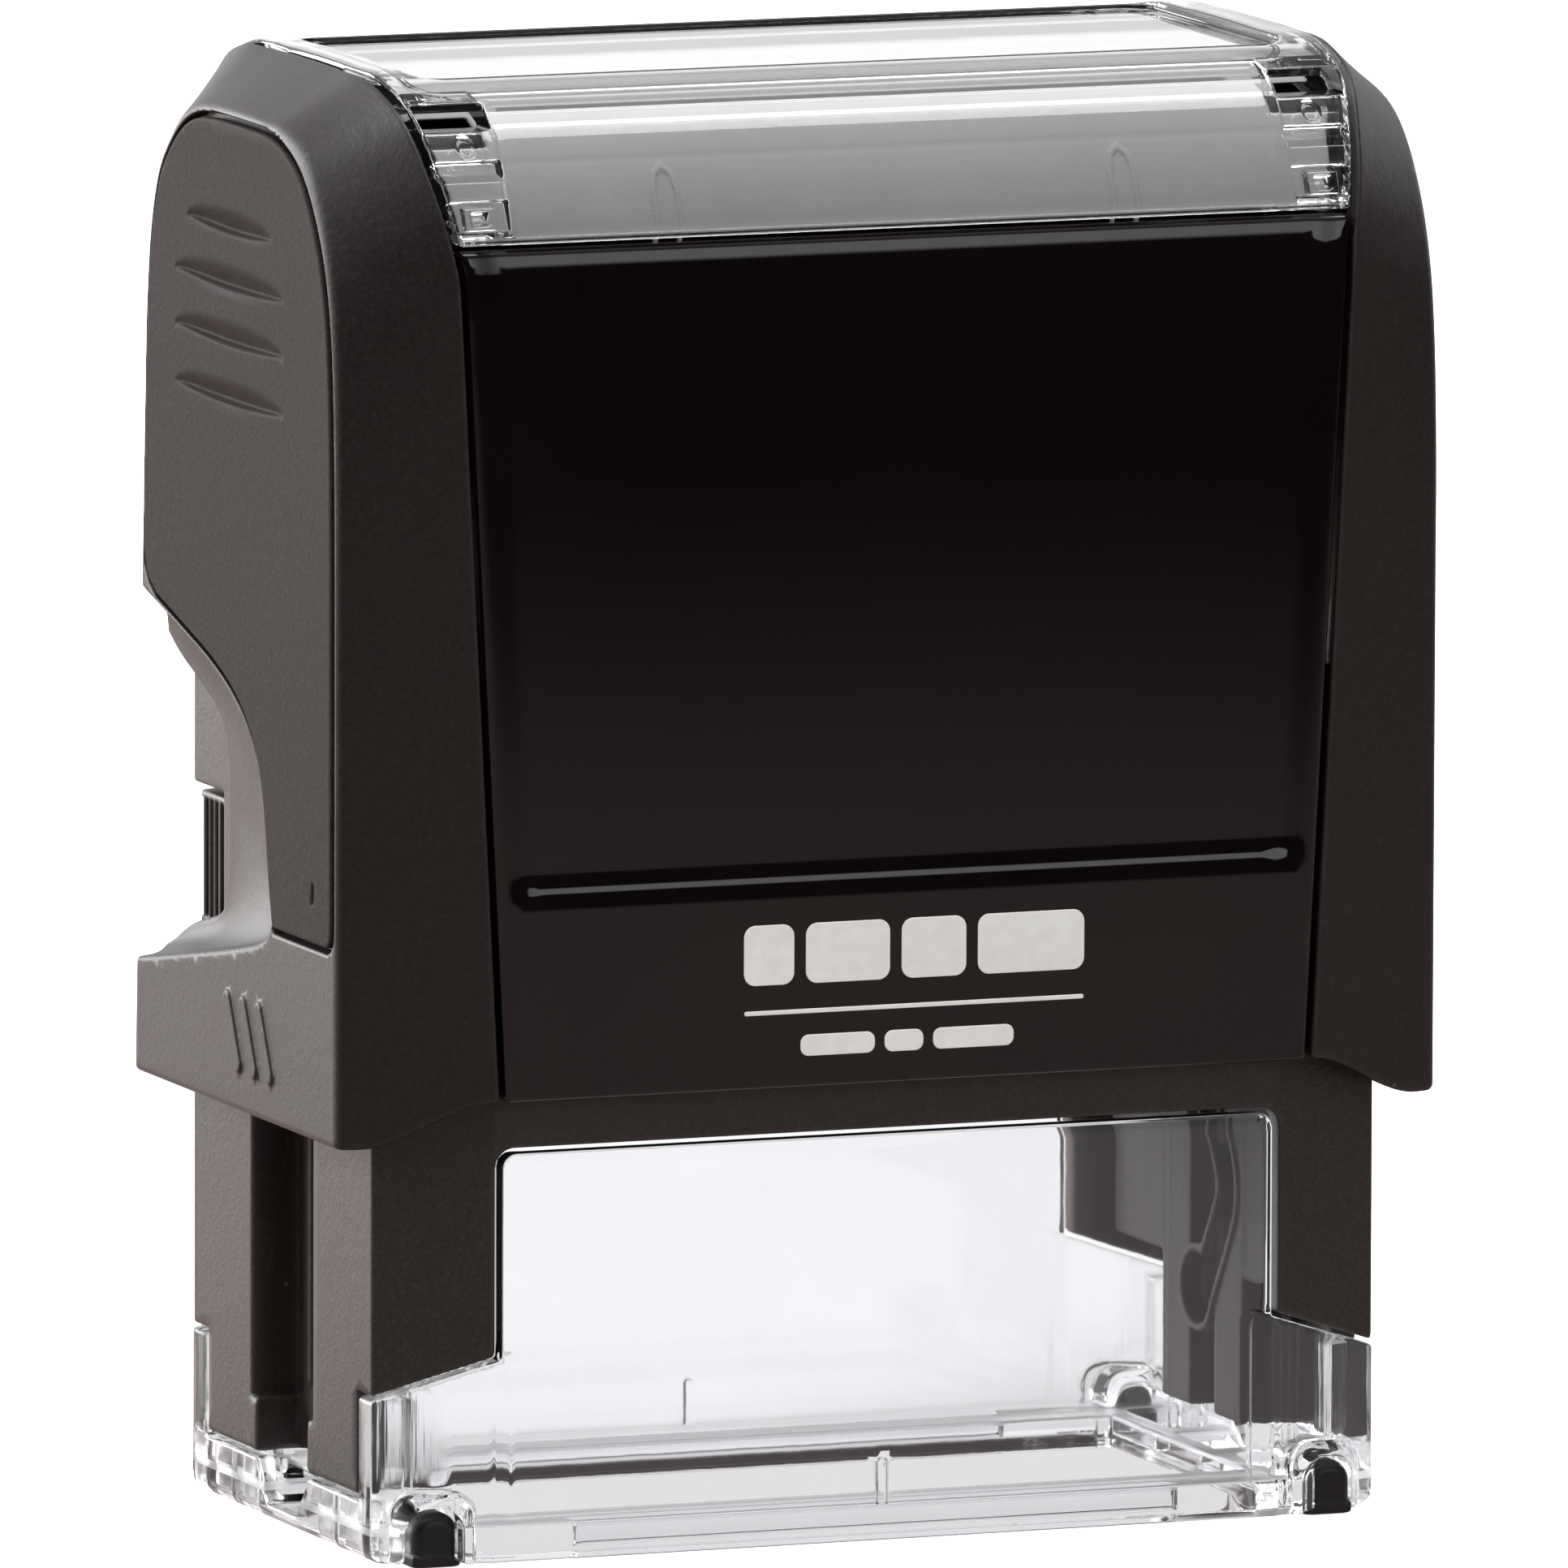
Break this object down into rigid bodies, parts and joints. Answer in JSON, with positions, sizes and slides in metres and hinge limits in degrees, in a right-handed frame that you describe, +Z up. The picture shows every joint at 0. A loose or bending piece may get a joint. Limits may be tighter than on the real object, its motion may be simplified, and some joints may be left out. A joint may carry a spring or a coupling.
{
  "type": "self inking stamp",
  "caption": "Pocket-size self inking hand stamp: a sprung gloss-black cap with matte side arms slides down over a slotted frame on a clear base and turns the printing plate over.",
  "frame": {"origin": "middle of the footprint, on the surface the stamp stands on", "axes": "+Z up along the press direction, -Y towards the front panel, +X to the right as seen from the front"},
  "size_m": [0.0682, 0.04, 0.0859],
  "materials": {
    "clear_plastic": "clear polished moulded plastic",
    "frame_black": "fine matte moulded black",
    "gloss_black": "high gloss black",
    "arm_black": "satin fine-spark black",
    "grip_black": "soft matte black",
    "foot_rubber": "soft black rubber",
    "spring_steel": "bright drawn wire",
    "card_grey": "plain grey paper card",
    "tape_grey": "foam mounting tape",
    "die_rubber": "laser engraved rubber",
    "ink_felt": "ink soaked felt"
  },
  "bodies": {
    "housing": {"base_foot_clear": "clear_plastic", "lower_frame": "frame_black", "anti_slip_foot_front_left": "foot_rubber", "anti_slip_foot_front_right": "foot_rubber", "anti_slip_foot_rear_left": "foot_rubber", "anti_slip_foot_rear_right": "foot_rubber", "main_spring": "spring_steel"},
    "cap": {"cap_shell": "gloss_black", "arm_cover_left": "arm_black", "arm_cover_right": "arm_black", "grip_inset_left": "grip_black", "grip_inset_right": "grip_black", "inner_bow": "frame_black", "index_card": "card_grey", "rear_latch_bar": "gloss_black"},
    "window": {"index_window_cover": "clear_plastic"},
    "carrier": {"die_carrier": "frame_black", "die_cushion_tape": "tape_grey", "die_rubber_plate": "die_rubber"},
    "cartridge": {"ink_cartridge_tray": "frame_black", "ink_pad": "ink_felt"},
    "button_left": {"lock_button_left": "arm_black"},
    "button_right": {"lock_button_right": "arm_black"}
  },
  "joints": [
    {"name": "cap_press", "type": "slide", "parent": "housing", "child": "cap", "axis": [0, 0, -1], "range_m": [0, 0.023], "stiffness_N_per_m": 500, "springref_m": -0.006, "deforming": ["main_spring"]},
    {"name": "carrier_flip", "type": "hinge", "parent": "cap", "child": "carrier", "pos_m": [0, 0, 0.029], "axis": [-1, 0, 0], "range_deg": [0, 180]},
    {"name": "cartridge_slide", "type": "slide", "parent": "housing", "child": "cartridge", "axis": [0, -1, 0], "range_m": [-0.045, 0]},
    {"name": "window_lift", "type": "slide", "parent": "cap", "child": "window", "axis": [0, 0, 1], "range_m": [0, 0.008]},
    {"name": "lock_left", "type": "slide", "parent": "cap", "child": "button_left", "axis": [0, -1, 0], "range_m": [0, 0.0005], "stiffness_N_per_m": 400},
    {"name": "lock_right", "type": "slide", "parent": "cap", "child": "button_right", "axis": [0, -1, 0], "range_m": [0, 0.0005], "stiffness_N_per_m": 400}
  ],
  "couplings": [
    {"joint": "carrier_flip", "follows": "cap_press", "rad_per_m": 136.59}
  ]
}
